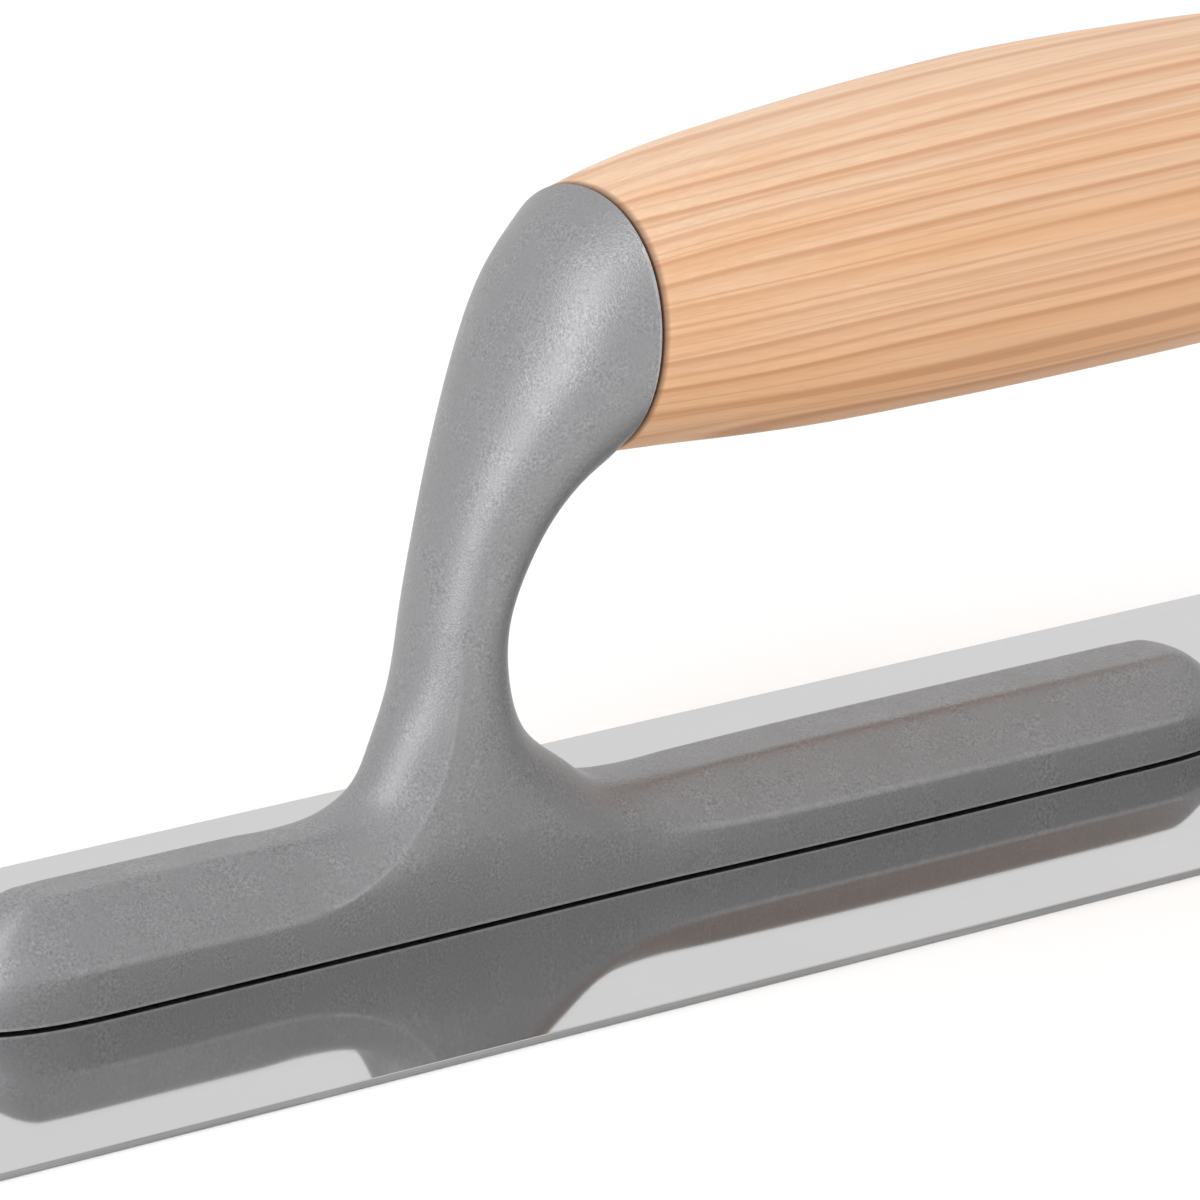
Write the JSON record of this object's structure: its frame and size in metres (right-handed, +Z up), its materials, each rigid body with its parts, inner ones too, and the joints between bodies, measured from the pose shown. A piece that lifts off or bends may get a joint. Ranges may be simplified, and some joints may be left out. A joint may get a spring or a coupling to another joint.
{
  "type": "finishing trowel",
  "caption": "Plasterer's finishing trowel: flat rectangular steel blade, long cast mounting beam with a gooseneck post, and a barrel-shaped wooden handle.",
  "frame": {"origin": "centre of the blade's underside, the working face", "axes": "+X along the blade towards the butt of the handle, +Y across the blade to its back edge, +Z up through the handle"},
  "size_m": [0.25, 0.08, 0.0865],
  "materials": {
    "blade_steel": "ground and polished spring steel",
    "cast_metal": "fine satin cast surface, silver grey",
    "handle_wood": "sanded pale hardwood with straight grain, thin clear oil",
    "zinc_steel": "bright zinc plate",
    "rivet_steel": "ground flush"
  },
  "bodies": {
    "root": {"blade": "blade_steel", "mount_casting": "cast_metal", "wooden_handle": "handle_wood", "handle_screw": "zinc_steel", "screw_washer": "zinc_steel", "blade_rivet_1": "rivet_steel", "blade_rivet_2": "rivet_steel", "blade_rivet_3": "rivet_steel", "blade_rivet_4": "rivet_steel", "blade_rivet_5": "rivet_steel", "blade_rivet_6": "rivet_steel", "blade_rivet_7": "rivet_steel"}
  },
  "joints": []
}
